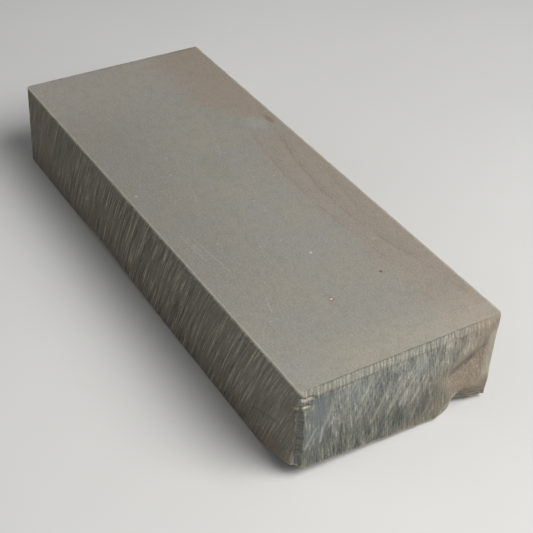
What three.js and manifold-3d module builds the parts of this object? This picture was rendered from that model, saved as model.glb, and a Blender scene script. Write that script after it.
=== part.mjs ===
// A full-size natural bench whetstone: one sawn block of stone with a lapped sharpening face,
// bevelled edges, a broken lower corner and a flake scar in one end. Millimetres, +Z up.
import * as THREE from 'three';
import { mergeVertices } from 'three/addons/utils/BufferGeometryUtils.js';
import Module from 'manifold-3d';

const wasm = await Module();
wasm.setup();

// Driving dimensions. The block is square to its sharpening face, and the sharpening face
// climbs a little towards the scarred end, so that the sawn underside rests flat.
const WIDTH = 75;
const LENGTH = 194; // along the sharpening face
const THICKNESS_SCARRED = 35.8; // square to the sharpening face, at the scarred (+X) end
const THICKNESS_PLAIN = 32.1; // at the plain (-X) end

// Edge treatment.
const LONG_EDGE_BEVEL = 0.6;
const PLAIN_EDGE_BEVEL = 0.6;
const SCARRED_BEVEL_TOP = 0.9; // the filed bevel above the scarred end, across the top
const SCARRED_BEVEL_DOWN = 2.4; // the same bevel, down the end
const PLAIN_FRONT_RADIUS = 3; // upright corner, front side and plain end
const PLAIN_BACK_BEVEL = 1.2; // upright corner, back side and plain end
const SCARRED_FRONT_BEVEL = [2.8, 1.5]; // upright corner: leg across the end, leg along the side
const SCARRED_BACK_BEVEL = [1.4, 2.2];

// Flake scar in the scarred end, by width w from the front side and depth d below the face.
// Each facet falls inwards from the line through its point, the steepest way being `way`.
const SCAR_FACETS = [
  { at: [57.3, 14.1], way: [0.475, 0.88], slope: 0.27 }, // roof, facing down
  { at: [69.5, 26.5], way: [-0.4, -0.92], slope: 0.17 }, // floor, facing up
  { at: [54.5, 21], way: [0.91, -0.41], slope: 0.3 }, // left flank
  { at: [74.6, 15], way: [-1, 0], slope: 0.33 }, // right flank
];

// Undercut notch below the scar, open at the underside.
const NOTCH_LEDGE = 27.2; // depth of the ledge that overhangs it
const NOTCH_LEFT = 53; // where its slanting left wall meets the underside
const NOTCH_CORNER = 60.5; // where that wall meets the ledge
const NOTCH_RECESS = [
  [53, 0], [56, 0.9], [59, 1.7], [63, 5], [65, 4.2], [67, 2.9], [69, 2.3], [73, 1.3], [75, 0.2],
];

// Breakage of the underside: lift off the resting plane, by distance e from the scarred end
// and w from the front side.
const BROAD_FACET = { lift: 4.0, perWidth: 0.062, perLength: 0.2 };
const CORNER_FACET = { lift: 6.0, perWidth: 0.42, perLength: 0.32 };
const NOTCH_FACET = { lift: 1.8, from: 55, perWidth: 0.3, perLength: 0.15 };
const FRONT_EDGE = { base: 0.12, hollows: [[97, 14, 0.55], [127, 19, 1.55]], reach: 7 };
const BACK_EDGE = { base: 0.3, hollows: [[38, 16, 1.1], [150, 22, 0.9]], reach: 8 };
const PLAIN_EDGE = { base: 0.2, hollows: [[22, 12, 0.8], [60, 9, 0.9]], reach: 6 };

// Spacing of the grids that shape the broken surfaces.
const SCAR_GRID = 2.5;
const UNDERSIDE_GRID = 3.5;
const MARGIN = 4; // how far a cutting tool stands past the block

const TILT = Math.atan((THICKNESS_SCARRED - THICKNESS_PLAIN) / LENGTH);
const SPAN_X = LENGTH * Math.cos(TILT) + THICKNESS_SCARRED * Math.sin(TILT);
const REST_LIFT = THICKNESS_PLAIN * Math.cos(TILT);

// Face frame: x from the plain end, y across with 0 in the middle, z up with 0 on the
// sharpening face. Rest frame: the underside on z = 0, the origin below the middle.
const FACE_TO_REST = new THREE.Matrix4()
  .makeTranslation(-SPAN_X / 2, 0, REST_LIFT)
  .multiply(new THREE.Matrix4().makeRotationY(-TILT));
const REST_TO_FACE = FACE_TO_REST.clone().invert();

function clamp(value, low, high) {
  return Math.min(Math.max(value, low), high);
}

function interpolate(points, at) {
  const last = points.length - 1;
  if (at <= points[0][0]) return points[0][1];
  if (at >= points[last][0]) return points[last][1];
  const i = points.findIndex(([x]) => x > at) - 1;
  const [x0, y0] = points[i];
  const [x1, y1] = points[i + 1];
  return y0 + ((y1 - y0) * (at - x0)) / (x1 - x0);
}

// Recess of the scarred end, inwards from its plane. Below zero the end is intact.
function endRecess(w, d) {
  const fall = ({ at, way, slope }) => slope * ((w - at[0]) * way[0] + (d - at[1]) * way[1]);
  const scar = Math.min(...SCAR_FACETS.map(fall));

  const wall = clamp((w - NOTCH_LEFT) / (NOTCH_CORNER - NOTCH_LEFT), 0, 1);
  const roof = THREE.MathUtils.lerp(THICKNESS_SCARRED, NOTCH_LEDGE, wall);
  const below = (d - roof) / Math.max(THICKNESS_SCARRED - roof, 1);
  const notch = Math.min(below * interpolate(NOTCH_RECESS, w), w - NOTCH_LEFT);

  return scar > 0 && notch > 0 ? scar + notch : Math.max(scar, notch);
}

// Waviness of a broken lower edge, fading out over its reach.
function edgeLift(edge, along, inwards) {
  const hollow = edge.hollows.reduce(
    (sum, [centre, spread, height]) => sum + height * Math.exp(-(((along - centre) / spread) ** 2)),
    edge.base
  );
  return hollow * (1 - inwards / edge.reach);
}

// Lift of the underside off the resting plane. Below zero it is intact.
function undersideLift(e, w) {
  const broad = BROAD_FACET.lift - BROAD_FACET.perWidth * w - BROAD_FACET.perLength * e;
  const corner = CORNER_FACET.lift - CORNER_FACET.perWidth * w - CORNER_FACET.perLength * e;
  const nearNotch = Math.min(NOTCH_FACET.lift, NOTCH_FACET.perWidth * (w - NOTCH_FACET.from));
  const notch = nearNotch - NOTCH_FACET.perLength * e;
  const front = edgeLift(FRONT_EDGE, e, w);
  const back = edgeLift(BACK_EDGE, e, WIDTH - w);
  const plain = edgeLift(PLAIN_EDGE, w, LENGTH - e);
  return Math.max(broad, corner, notch, front, back, plain);
}

function toSolid(geometry) {
  const bare = geometry.clone();
  bare.deleteAttribute('normal');
  bare.deleteAttribute('uv');
  const merged = mergeVertices(bare, 1e-5);
  const vertProperties = new Float32Array(merged.attributes.position.array);
  const triVerts = new Uint32Array(merged.index.array);
  return new wasm.Manifold(new wasm.Mesh({ numProp: 3, vertProperties, triVerts }));
}

function toGeometry(solid) {
  const { vertProperties, triVerts } = solid.getMesh();
  const geometry = new THREE.BufferGeometry();
  geometry.setAttribute('position', new THREE.BufferAttribute(vertProperties, 3));
  geometry.setIndex(new THREE.BufferAttribute(triVerts, 1));
  geometry.computeVertexNormals();
  return geometry;
}

function outline(points) {
  return new THREE.Shape(points.map(([x, y]) => new THREE.Vector2(x, y)));
}

function extrude(shape, depth) {
  return new THREE.ExtrudeGeometry(shape, { depth, bevelEnabled: false, curveSegments: 8 });
}

// Looking down: the four upright corners.
function planPrism() {
  const front = -WIDTH / 2;
  const back = WIDTH / 2;
  const shape = new THREE.Shape();
  shape.moveTo(PLAIN_FRONT_RADIUS, front);
  shape.lineTo(LENGTH - SCARRED_FRONT_BEVEL[1], front);
  shape.lineTo(LENGTH, front + SCARRED_FRONT_BEVEL[0]);
  shape.lineTo(LENGTH, back - SCARRED_BACK_BEVEL[0]);
  shape.lineTo(LENGTH - SCARRED_BACK_BEVEL[1], back);
  shape.lineTo(PLAIN_BACK_BEVEL, back);
  shape.lineTo(0, back - PLAIN_BACK_BEVEL);
  shape.lineTo(0, front + PLAIN_FRONT_RADIUS);
  shape.absarc(PLAIN_FRONT_RADIUS, front + PLAIN_FRONT_RADIUS, PLAIN_FRONT_RADIUS, Math.PI, 1.5 * Math.PI);
  const depth = THICKNESS_SCARRED + MARGIN;
  return extrude(shape, depth).translate(0, 0, -depth);
}

// From the front: the underside and the bevels along the two short upper edges.
function sidePrism() {
  const shape = outline([
    [0, -THICKNESS_PLAIN],
    [LENGTH, -THICKNESS_SCARRED],
    [LENGTH, -SCARRED_BEVEL_DOWN],
    [LENGTH - SCARRED_BEVEL_TOP, 0],
    [PLAIN_EDGE_BEVEL, 0],
    [0, -PLAIN_EDGE_BEVEL],
  ]);
  return extrude(shape, WIDTH).rotateX(Math.PI / 2).translate(0, WIDTH / 2, 0);
}

// From the end: the bevels along the two long upper edges.
function endPrism() {
  const half = WIDTH / 2;
  const shape = outline([
    [-half, -THICKNESS_SCARRED - MARGIN],
    [half, -THICKNESS_SCARRED - MARGIN],
    [half, -LONG_EDGE_BEVEL],
    [half - LONG_EDGE_BEVEL, 0],
    [-half + LONG_EDGE_BEVEL, 0],
    [-half, -LONG_EDGE_BEVEL],
  ]);
  return extrude(shape, LENGTH).rotateX(Math.PI / 2).rotateZ(Math.PI / 2);
}

// A block past the scarred end whose inner face has the scar's shape.
function scarTool() {
  const across = WIDTH + 2 * MARGIN;
  const height = THICKNESS_SCARRED + 2 * MARGIN;
  const deep = 2 * MARGIN;
  const stepsAcross = Math.round(across / SCAR_GRID);
  const stepsUp = Math.round(height / SCAR_GRID);
  const box = new THREE.BoxGeometry(deep, across, height, 1, stepsAcross, stepsUp);
  box.translate(LENGTH + deep / 2, 0, MARGIN - height / 2);
  const position = box.attributes.position;
  for (let i = 0; i < position.count; i += 1) {
    if (position.getX(i) > LENGTH + deep / 2) continue;
    const recess = endRecess(position.getY(i) + WIDTH / 2, -position.getZ(i));
    position.setX(i, LENGTH - Math.max(recess, -1));
  }
  return box;
}

// A slab under the block, in the rest frame, whose top has the underside's breakage.
function undersideTool() {
  const long = SPAN_X + 2 * MARGIN;
  const across = WIDTH + 2 * MARGIN;
  const deep = 2 * MARGIN;
  const stepsLong = Math.round(long / UNDERSIDE_GRID);
  const stepsAcross = Math.round(across / UNDERSIDE_GRID);
  const box = new THREE.BoxGeometry(long, across, deep, stepsLong, stepsAcross, 1);
  box.translate(0, 0, -deep / 2);
  const position = box.attributes.position;
  const point = new THREE.Vector3();
  for (let i = 0; i < position.count; i += 1) {
    point.fromBufferAttribute(position, i);
    if (point.z < -deep / 2) continue;
    point.applyMatrix4(REST_TO_FACE);
    position.setZ(i, Math.max(undersideLift(LENGTH - point.x, point.y + WIDTH / 2), -1));
  }
  return box;
}

function stoneGeometry() {
  const block = [planPrism(), sidePrism(), endPrism()]
    .map(toSolid)
    .reduce((solid, next) => solid.intersect(next));
  const scarred = block.subtract(toSolid(scarTool()));
  const atRest = toSolid(toGeometry(scarred).applyMatrix4(FACE_TO_REST));
  return toGeometry(atRest.subtract(toSolid(undersideTool())));
}

const stoneMaterial = new THREE.MeshStandardMaterial({
  color: new THREE.Color().setRGB(0.56, 0.55, 0.49, THREE.SRGBColorSpace),
  roughness: 0.72,
  metalness: 0,
});

const stoneBlock = new THREE.Mesh(stoneGeometry(), stoneMaterial);
stoneBlock.name = 'stone_block';

const whetstone = new THREE.Group();
whetstone.add(stoneBlock);

export default whetstone;
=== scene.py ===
"""A natural bench whetstone: the visual model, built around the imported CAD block.

The stone is one closed mesh. Its four sides are one ring of fine columns and rows, and the lapped
face and the underside close it on coarser grids. It is shaped in the face frame, in millimetres:
x from the plain end, w from the front side, and d down from the sharpening face.
"""
import math

import bpy
import numpy as np
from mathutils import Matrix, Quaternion, Vector


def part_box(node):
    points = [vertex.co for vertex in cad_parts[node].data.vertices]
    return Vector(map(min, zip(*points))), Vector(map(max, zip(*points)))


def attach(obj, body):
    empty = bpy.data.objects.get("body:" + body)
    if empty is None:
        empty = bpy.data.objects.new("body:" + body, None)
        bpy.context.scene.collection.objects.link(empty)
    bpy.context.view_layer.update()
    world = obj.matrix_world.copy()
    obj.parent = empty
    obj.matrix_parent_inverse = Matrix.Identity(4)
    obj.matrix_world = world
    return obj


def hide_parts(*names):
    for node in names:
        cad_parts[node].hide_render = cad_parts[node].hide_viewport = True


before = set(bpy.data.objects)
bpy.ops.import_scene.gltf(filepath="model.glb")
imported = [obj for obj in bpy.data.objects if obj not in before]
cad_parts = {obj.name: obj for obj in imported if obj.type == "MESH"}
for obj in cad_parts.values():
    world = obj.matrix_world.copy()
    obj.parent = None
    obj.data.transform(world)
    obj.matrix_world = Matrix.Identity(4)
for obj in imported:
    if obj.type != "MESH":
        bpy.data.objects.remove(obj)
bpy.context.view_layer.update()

MM = 0.001
NODE = "stone_block"
BODY = "root"

# The block, as the CAD model has it.
LENGTH = 194.0
THICKNESS_SCARRED = 35.8
THICKNESS_PLAIN = 32.1
BOX_LOW, BOX_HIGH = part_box(NODE)
WIDTH = (BOX_HIGH.y - BOX_LOW.y) / MM
TILT = math.atan((THICKNESS_SCARRED - THICKNESS_PLAIN) / LENGTH)  # of the sharpening face
REST_LIFT = THICKNESS_PLAIN * math.cos(TILT)  # of its edge at the plain end

# Bevels along the edges and at the upright corners.
LONG_INSET = 0.5
PLAIN_INSET = 0.6
SCARRED_INSET = 0.9
LONG_DOWN = 0.55
SCARRED_DOWN = 2.4
LOWER_EDGE = 0.35
PLAIN_FRONT_RADIUS = 3.0
PLAIN_BACK_LEGS = (1.2, 1.2)  # along the length, across the width
SCARRED_BACK_LEGS = (2.2, 1.4)
CORNER_SLIVER = (5.0, 25.2)  # depths between which the scarred front corner has lost a sliver

# Flake scar: each facet falls inwards from the line through its point.
SCAR_FACETS = (
    {"at": (57.3, 14.1), "way": (0.475, 0.88), "slope": 0.27},
    {"at": (69.5, 26.5), "way": (-0.4, -0.92), "slope": 0.17},
    {"at": (54.5, 21.0), "way": (0.91, -0.41), "slope": 0.3},
    {"at": (74.6, 15.0), "way": (-1.0, 0.0), "slope": 0.33},
)
CREASE_SOFTNESS = 0.04  # between the roof and the floor of the scar
FLANK_SOFTNESS = 0.3
SCAR_ROUNDING = 0.45  # how much of the scar's depth its outline is rounded over
NOTCH_LEDGE = 27.2
NOTCH_LEFT = 53.0
NOTCH_CORNER = 60.5
NOTCH_RECESS = ((53, 56, 59, 63, 65, 67, 69, 73, 75), (0, 0.9, 1.7, 5, 4.2, 2.9, 2.3, 1.3, 0.2))
RECESS_FADE = 12.0  # how far along the stone the recess of the end is taken up

# Breakage of the underside.
BROAD_FACET = {"lift": 4.0, "per_width": 0.062, "per_length": 0.2}
CORNER_FACET = {"lift": 6.0, "per_width": 0.42, "per_length": 0.32}
NOTCH_FACET = {"lift": 1.8, "from": 55, "per_width": 0.3, "per_length": 0.15}
FRONT_EDGE = {"base": 0.12, "hollows": ((97, 14, 0.55), (127, 19, 1.55)), "reach": 7}
BACK_EDGE = {"base": 0.3, "hollows": ((38, 16, 1.1), (150, 22, 0.9)), "reach": 8}
PLAIN_EDGE = {"base": 0.2, "hollows": ((22, 12, 0.8), (60, 9, 0.9)), "reach": 6}

# Lean of the saw marks, as their sideways shift for each millimetre of depth.
FRONT_LEAN = 0.50
FRONT_STEEPENING = 0.0025  # takes some of the lean back, with the depth squared
END_LEAN = 0.14
BACK_LEAN = 0.22
PLAIN_LEAN = 0.12
UNDER_LEAN = 0.3  # for each millimetre across the stone
LAPPING_ANGLE = math.radians(52)  # of the lapping marks, from straight across the stone
APART = 400  # keeps the noise of one surface clear of the next

# The file's strokes on the upper bevel of the scarred end, in radians for each millimetre.
FILE_BEAT = 4.8  # about one stroke in 1.3 mm
FILE_LEAN = 0.7  # with depth
FILE_WANDER = ({"beat": 0.9, "start": 0.0, "size": 1.3}, {"beat": 2.3, "start": 1.0, "size": 0.8})

# The curved crack low on the front side.
CRACK = {"start": 168.5, "length": 17.5, "depth": 26.2, "rise": 7.4, "half": 0.4}

# Two small steps at the top of the scarred end, by the front corner. Each has an upper line that
# falls across the end, painted shade along it out to "line", and a painted highlight on the facet
# below it, whose share is "pale".
CHIPS = (
    {"top": 1.7, "fall": 0.22, "ragged": 0.3, "tooth": 1.1, "seed": 51, "reach": 6.6, "tall": 1.3,
     "deep": 0.4, "line": 6.4, "from": 1.2, "to": 5.6, "middle": 0.9, "half": 0.5, "pale": 0.45},
    {"top": 4.9, "fall": 0.18, "ragged": 0.25, "tooth": 1.2, "seed": 52, "reach": 4.6, "tall": 0.9,
     "deep": 0.3, "line": 4.6, "from": 2.0, "to": 4.6, "middle": 0.75, "half": 0.35, "pale": 0.75},
)

# Mesh density.
COLUMNS_LONG = 420
COLUMNS_ACROSS = 192
BEVEL_ROWS = 5
UPPER_ROWS = 22
UPPER_DEPTH = 8.0
LOWER_ROWS = 40
AROUND = 2 * (COLUMNS_LONG + COLUMNS_ACROSS)
LID_STEP = 4  # columns of the ring to one cell of the lapped face and the underside
CELLS_LONG = COLUMNS_LONG // LID_STEP
CELLS_ACROSS = COLUMNS_ACROSS // LID_STEP
SHARP_ANGLE = math.radians(38)

FRONT, SCARRED, BACK, PLAIN, TOP, UNDER = range(6)


# ---- noise and curves

def smooth(value, start, end):
    """0 before start, 1 past end, and a smooth step between."""
    t = np.clip((value - start) / (end - start), 0, 1)
    return t * t * (3 - 2 * t)


def lattice(i, j, seed):
    """A repeatable value from -1 to 1 for every whole-number point."""
    h = (i.astype(np.int64) * 374761393 + j.astype(np.int64) * 668265263 + seed * 974634777)
    h = h & 0xFFFFFFFF
    h = ((h ^ (h >> 13)) * 1274126177) & 0xFFFFFFFF
    h = h ^ (h >> 16)
    return h / 0x7FFFFFFF - 1


def noise(a, b, seed):
    """Smooth value noise over a plane, from -1 to 1, with features one unit across."""
    a, b = np.broadcast_arrays(np.asarray(a, float), np.asarray(b, float))
    i, j = np.floor(a), np.floor(b)
    u, v = smooth(a - i, 0, 1), smooth(b - j, 0, 1)
    low = lattice(i, j, seed) * (1 - u) + lattice(i + 1, j, seed) * u
    high = lattice(i, j + 1, seed) * (1 - u) + lattice(i + 1, j + 1, seed) * u
    return low * (1 - v) + high * v


def rough(a, b, seed, octaves=3):
    """Noise with finer and fainter layers added."""
    return sum(noise(a * 2**k, b * 2**k, seed + k) / 2**k for k in range(octaves))


def blob(w, d, centre, half):
    """1 in the middle of a soft oval, 0 outside."""
    return np.exp(-(((w - centre[0]) / half[0]) ** 2 + ((d - centre[1]) / half[1]) ** 2))


def soft_min(values, softness):
    """The least of the values, rounded where two are close."""
    return -softness * np.log(sum(np.exp(-v / softness) for v in values))


# ---- form of the stone

def soft_start(value, reach):
    """The value where it is above zero, eased in over the reach on both sides of zero."""
    eased = (value + reach) ** 2 / (4 * reach)
    return np.where(value <= -reach, 0, np.where(value >= reach, value, eased))


def scar_recess(w, d):
    roof, floor, left, right = (
        f["slope"] * ((w - f["at"][0]) * f["way"][0] + (d - f["at"][1]) * f["way"][1])
        for f in SCAR_FACETS
    )
    crease = soft_min([roof + 0.12 * noise(w / 3, d / 3, 10), floor], CREASE_SOFTNESS)
    return soft_start(soft_min([crease, left, right], FLANK_SOFTNESS), SCAR_ROUNDING)


def notch_recess(w, d):
    wall = np.clip((w - NOTCH_LEFT) / (NOTCH_CORNER - NOTCH_LEFT), 0, 1)
    ledge = NOTCH_LEDGE + 0.7 * noise(w / 3.5, 0, 11)
    roof = THICKNESS_SCARRED + (ledge - THICKNESS_SCARRED) * wall
    below = (d - roof) / np.maximum(THICKNESS_SCARRED - roof, 1)
    across = np.interp(w, *NOTCH_RECESS)
    return np.minimum(below * across, w - NOTCH_LEFT)


def end_recess(w, d):
    """How far the scarred end is broken in from its plane."""
    scar, notch = scar_recess(w, d), notch_recess(w, d)
    both = (scar > 0) & (notch > 0)
    return np.maximum(np.where(both, scar + notch, np.maximum(scar, notch)), 0)


def edge_lift(edge, along, inwards):
    hollow = edge["base"] + sum(
        height * np.exp(-(((along - centre) / spread) ** 2))
        for centre, spread, height in edge["hollows"]
    )
    return hollow * (1 - inwards / edge["reach"])


def facet_lift(facet, e, w):
    return facet["lift"] - facet["per_width"] * w - facet["per_length"] * e


def underside_lift(e, w):
    """How far the underside is broken up from its plane, at a distance e from the scarred end."""
    by_notch = smooth(w, 52, 58) * smooth(-e, -14, -6)
    ragged = (0.12 + 0.35 * by_notch) * rough(e / 2.6, w / 2.6, 21)
    notch = np.minimum(NOTCH_FACET["lift"], NOTCH_FACET["per_width"] * (w - NOTCH_FACET["from"]))
    facets = np.maximum(facet_lift(BROAD_FACET, e, w), facet_lift(CORNER_FACET, e, w))
    facets = np.maximum(facets, notch - NOTCH_FACET["per_length"] * e)
    edges = np.maximum(edge_lift(FRONT_EDGE, e, w), edge_lift(BACK_EDGE, e, WIDTH - w))
    lift = np.maximum(facets, np.maximum(edges, edge_lift(PLAIN_EDGE, w, LENGTH - e)))
    return np.maximum(lift + ragged * smooth(lift, 0, 1), 0)


def bottom_depth(x, w):
    """Depth of the underside below the sharpening face."""
    intact = THICKNESS_PLAIN + (THICKNESS_SCARRED - THICKNESS_PLAIN) * x / LENGTH
    return intact - underside_lift(LENGTH - x, w)


def clip_corner(away_x, away_w, legs):
    """Shift that carries points outside a corner bevel onto it, both ways positive inwards."""
    slope = (1 / legs[0], 1 / legs[1])
    short = np.maximum(1 - away_x * slope[0] - away_w * slope[1], 0)
    scale = short / (slope[0] ** 2 + slope[1] ** 2)
    return scale * slope[0], scale * slope[1]


def sliver_legs(d):
    """Legs of the scarred front corner's bevel, which a long sliver has widened."""
    start, end = CORNER_SLIVER
    share = np.clip((d - start) / (end - start), 0, 1)
    cut = smooth(d, start, start + 3) * (1 - smooth(d, end - 1.2, end + 0.2))
    low = smooth(d, end - 1.2, end + 0.2)
    ragged = 0.2 * rough(d / 2.5, 0, 31) + 0.2 * noise(d / 0.75, 0, 32)
    along = 0.8 + cut * (0.6 + 0.7 * share + ragged) + low * 1.3
    across = 0.8 + cut * (1.1 + 1.1 * share + 0.4 * ragged) + low * 2.1
    return along, across


def clip_plan(x, w, d):
    """Cuts the four upright corners."""
    dx, dw = clip_corner(LENGTH - x, w, sliver_legs(d))
    x, w = x - dx, w + dw
    dx, dw = clip_corner(LENGTH - x, WIDTH - w, SCARRED_BACK_LEGS)
    x, w = x - dx, w - dw
    dx, dw = clip_corner(x, WIDTH - w, PLAIN_BACK_LEGS)
    x, w = x + dx, w - dw
    r = PLAIN_FRONT_RADIUS
    inside = (x < r) & (w < r)
    far = np.maximum(np.hypot(r - x, r - w), 1e-6)
    pull = np.where(inside & (far > r), r / far, 1.0)
    return np.where(inside, r - (r - x) * pull, x), np.where(inside, r - (r - w) * pull, w)


# ---- relief of each surface

def front_streaks(x, d):
    """Position across the front side's saw marks, which lean 26 degrees and steepen downwards."""
    return x + FRONT_LEAN * d - FRONT_STEEPENING * d * d


def front_relief(x, d):
    s = front_streaks(x, d)
    depth = 0.45 + 0.55 * smooth(x, 25, 110)
    grooves = 0.06 * noise(s / 0.75, d / 11, 41) + 0.015 * noise(s / 2.4, d / 18, 42)
    return depth * grooves + 0.02 * rough(x / 1.6, d / 2.2, 43) - 0.15 * crack(x, d)


def crack(x, d):
    """1 along the crack, 0 away from it."""
    along = (x - CRACK["start"]) / CRACK["length"]
    line = CRACK["depth"] - CRACK["rise"] * np.clip(along, 0, 1) ** 0.75
    line = line + 0.4 * noise(x / 2.2, 0, 47)
    ends = smooth(along, -0.02, 0.1) * (1 - smooth(along, 0.85, 1.02))
    return ends * np.exp(-(((d - line) / CRACK["half"]) ** 2))


def end_streaks(w, d):
    """Position across the scarred end's fine saw marks, which lean 8 degrees the other way."""
    return w - END_LEAN * d


def back_streaks(x, d):
    return x - BACK_LEAN * d


def plain_streaks(w, d):
    return w + PLAIN_LEAN * d


def below_chip(chip, w, d):
    """Depth below a chip's upper line."""
    ragged = chip["ragged"] * noise(w / chip["tooth"], 0, chip["seed"])
    return d - (chip["top"] + chip["fall"] * w + ragged)


def chip_step(chip, w, d):
    """How deep a chip is cut, which is most just below its upper line."""
    below = below_chip(chip, w, d)
    step = chip["deep"] * smooth(below, -0.25, 0.05) * (1 - np.clip(below / chip["tall"], 0, 1))
    return step * (1 - smooth(w, chip["reach"] - 1.5, chip["reach"]))


def chips(w, d):
    return sum(chip_step(chip, w, d) for chip in CHIPS)


def tick_band(w, d):
    """Where the file marks on the scarred end's upper bevel are."""
    band = smooth(d, 0.1, 0.6) * (1 - smooth(d, 3.0, 3.6))
    return band * smooth(w, 4, 8) * (1 - smooth(w, 60, 74))


def tick_wave(w, d):
    """The file's uneven beat along the edge, from -1 to 1."""
    wander = sum(wave["size"] * np.sin(wave["beat"] * w + wave["start"]) for wave in FILE_WANDER)
    return np.sin(FILE_BEAT * w + FILE_LEAN * d + wander)


def ticks(w, d):
    return tick_band(w, d) * (0.035 * tick_wave(w, d) - 0.02)


def end_relief(w, d):
    broken = smooth(end_recess(w, d), 0.02, 0.4)
    notch = smooth(notch_recess(w, d), 0, 0.3)
    s = end_streaks(w, d)
    sawn = 0.055 * noise(s / 0.85, d / 6, 61) + 0.06 * noise(s / 2.2, d / 9, 62)
    sawn = sawn + 0.03 * rough(w / 1.6, d / 2.0, 63)
    soft = 0.07 * rough(w / 4.0, d / 3.0, 64)
    layers = 0.2 * noise(w / 9, (d - 0.12 * w) / 0.95, 65) + 0.12 * rough(w / 1.8, d / 1.5, 66)
    face = sawn * (1 - broken) + (soft * (1 - notch) + layers * notch) * broken
    return face + ticks(w, d) - chips(w, d)


def back_relief(x, d):
    s = back_streaks(x, d)
    marks = 0.07 * noise(s / 1.4, d / 19, 71) + 0.06 * noise(s / 3.3, d / 25, 72)
    calm_edge = 0.2 + 0.8 * smooth(d, 0.5, 4)
    return calm_edge * (marks + 0.03 * rough(x / 2.0, d / 2.5, 73))


def plain_relief(w, d):
    s = plain_streaks(w, d)
    return 0.07 * noise(s / 1.5, d / 18, 75) + 0.04 * rough(w / 1.8, d / 2.2, 76)


# ---- mesh

def ring_columns():
    """Places round the block, seen from above: front, scarred end, back, plain end."""
    long_steps = np.arange(COLUMNS_LONG) * LENGTH / COLUMNS_LONG
    across_steps = np.arange(COLUMNS_ACROSS) * WIDTH / COLUMNS_ACROSS
    x = np.concatenate([long_steps, np.full(COLUMNS_ACROSS, LENGTH),
                        LENGTH - long_steps, np.zeros(COLUMNS_ACROSS)])
    w = np.concatenate([np.zeros(COLUMNS_LONG), across_steps,
                        np.full(COLUMNS_LONG, WIDTH), WIDTH - across_steps])
    zone = np.repeat([FRONT, SCARRED, BACK, PLAIN],
                     [COLUMNS_LONG, COLUMNS_ACROSS, COLUMNS_LONG, COLUMNS_ACROSS])
    return x, w, zone


def inset_outline(x, w, share):
    """Draws the outline in by a share of the upper bevels' insets."""
    left, right, side = PLAIN_INSET * share, SCARRED_INSET * share, LONG_INSET * share
    return (left + x * (LENGTH - left - right) / LENGTH,
            side + w * (WIDTH - 2 * side) / WIDTH)


def bevel_down(x, w):
    """Depth of the upper bevel at each place on the outline."""
    from_corner = np.minimum(w, WIDTH - w)
    on_end = (x > LENGTH - 1e-6) * smooth(from_corner, 0, 4)
    uneven = 1 + 0.25 * noise(x / 3, w / 3, 81)
    return (LONG_DOWN + (SCARRED_DOWN - LONG_DOWN) * on_end) * uneven


def ring_rows(x, w):
    """Place of every ring vertex before its relief, one row of arrays for each level."""
    down, bottom = bevel_down(x, w), bottom_depth(x, w)
    uneven = 1 + 0.2 * noise(x / 2.5, w / 2.5, 82)
    rows = []
    for step in range(BEVEL_ROWS + 1):
        share = step / BEVEL_ROWS
        rows.append((*inset_outline(x, w, (1 - share) * uneven), down * share))
    for step in range(1, UPPER_ROWS + 1):
        rows.append((x, w, down + (UPPER_DEPTH - down) * step / UPPER_ROWS))
    for step in range(1, LOWER_ROWS):
        share = step / (LOWER_ROWS - 1)
        rows.append((x, w, UPPER_DEPTH + (bottom - LOWER_EDGE - UPPER_DEPTH) * share))
    edge = LOWER_EDGE * (1 + 0.5 * noise(x / 2, w / 2, 83))
    rows.append((*inset_outline(x, w, edge / LONG_INSET), bottom))
    return [np.stack(row) for row in zip(*rows)]


def by_surface(zone, values):
    """For each point the value of its own surface, in the order FRONT, SCARRED and so on."""
    return np.select([zone == k for k in range(len(values))], values)


def side_relief(x, w, d, zone):
    """Outward relief of the four sides."""
    return by_surface(zone, [front_relief(x, d), end_relief(w, d),
                             back_relief(x, d), plain_relief(w, d)])


def outward(zone):
    """Outward direction of each ring column, shared half and half at the corners."""
    ways = np.array([(0, -1), (1, 0), (0, 1), (-1, 0)], float)[zone]
    before = np.roll(ways, 1, axis=0)
    shared = ways + before
    return shared / np.maximum(np.linalg.norm(shared, axis=1, keepdims=True), 1e-9)


def recess_share(x):
    """How much of the scarred end's recess is taken up at a distance from it."""
    return np.clip(1 - (LENGTH - x) / RECESS_FADE, 0, 1)


def shape_ring(x, w, d, zone):
    """Breaks, clips and roughens the ring."""
    way = outward(zone)
    on_wall = np.ones_like(x)
    on_wall[0] = 0
    on_wall[1:BEVEL_ROWS] = np.linspace(0.3, 0.9, BEVEL_ROWS - 1)[:, None]
    relief = side_relief(x, w, d, np.broadcast_to(zone, x.shape)) * on_wall
    cut_x, cut_w = clip_plan(x, w, d)
    cut_x = cut_x - end_recess(w, d) * recess_share(x) + relief * way[:, 0]
    return cut_x, cut_w + relief * way[:, 1], d


def lid_points(share):
    """Inner points of a lid's grid, before and after the outline is drawn in by a share."""
    x, w = np.meshgrid(np.arange(1, CELLS_LONG) * LID_STEP * LENGTH / COLUMNS_LONG,
                       np.arange(1, CELLS_ACROSS) * LID_STEP * WIDTH / COLUMNS_ACROSS,
                       indexing="ij")
    return (x.ravel(), w.ravel(), *inset_outline(x.ravel(), w.ravel(), share))


def ring_column(i, j):
    """Ring column of a border point of a lid's grid, or None for an inner point."""
    if j == 0:
        return i * LID_STEP
    if i == CELLS_LONG:
        return COLUMNS_LONG + j * LID_STEP
    if j == CELLS_ACROSS:
        return COLUMNS_LONG + COLUMNS_ACROSS + (CELLS_LONG - i) * LID_STEP
    if i == 0:
        return 2 * COLUMNS_LONG + COLUMNS_ACROSS + (CELLS_ACROSS - j) * LID_STEP
    return None


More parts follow.
